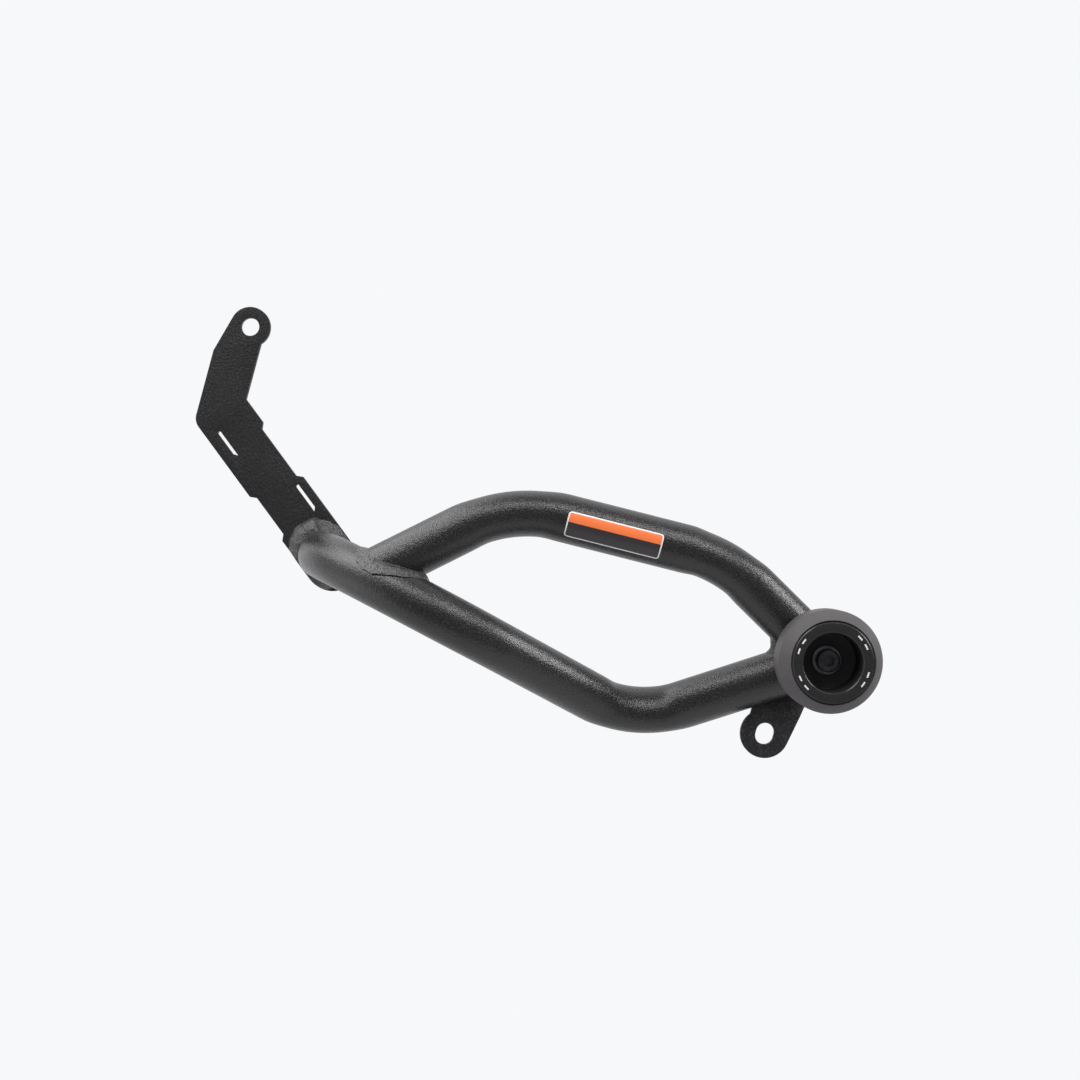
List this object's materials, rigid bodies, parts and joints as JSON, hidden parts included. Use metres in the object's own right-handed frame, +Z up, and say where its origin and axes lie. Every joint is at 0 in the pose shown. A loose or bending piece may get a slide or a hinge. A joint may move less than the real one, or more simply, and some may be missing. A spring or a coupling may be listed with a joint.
{
  "type": "motorcycle crash bars",
  "caption": "Side crash bar for a motorcycle: two bent tubes that part and rejoin at a slider puck, on a dog-leg upper plate and a folded lower tab with a slotted hole.",
  "frame": {"origin": "centre of the upper bolt hole, on the plate's back face, which lies on the machine's frame", "axes": "+X along the machine from the plate to the puck, +Y inboard into the machine, +Z up"},
  "size_m": [0.3986, 0.1103, 0.2676],
  "materials": {
    "plate_coat": "textured matt powder coat",
    "tube_coat": "satin powder coat",
    "boss_coat": "satin powder coat",
    "tab_coat": "textured matt powder coat",
    "weld_coat": "satin powder coat over a weld bead",
    "puck_nylon": "turned black nylon",
    "ring_plastic": "satin black with white dashes",
    "washer_steel": "dark zinc",
    "screw_steel": "black oxide",
    "label_vinyl": "printed vinyl, orange over black with a white border"
  },
  "bodies": {
    "root": {"upper_plate": "plate_coat", "main_tube": "tube_coat", "branch_tube": "tube_coat", "hub_boss": "boss_coat", "lower_tab": "tab_coat", "plate_weld": "weld_coat", "branch_weld": "weld_coat", "hub_weld": "weld_coat", "tab_weld": "weld_coat", "slider_puck": "puck_nylon", "puck_ring": "ring_plastic", "puck_washer": "washer_steel", "puck_screw": "screw_steel", "front_label": "label_vinyl"}
  },
  "joints": []
}
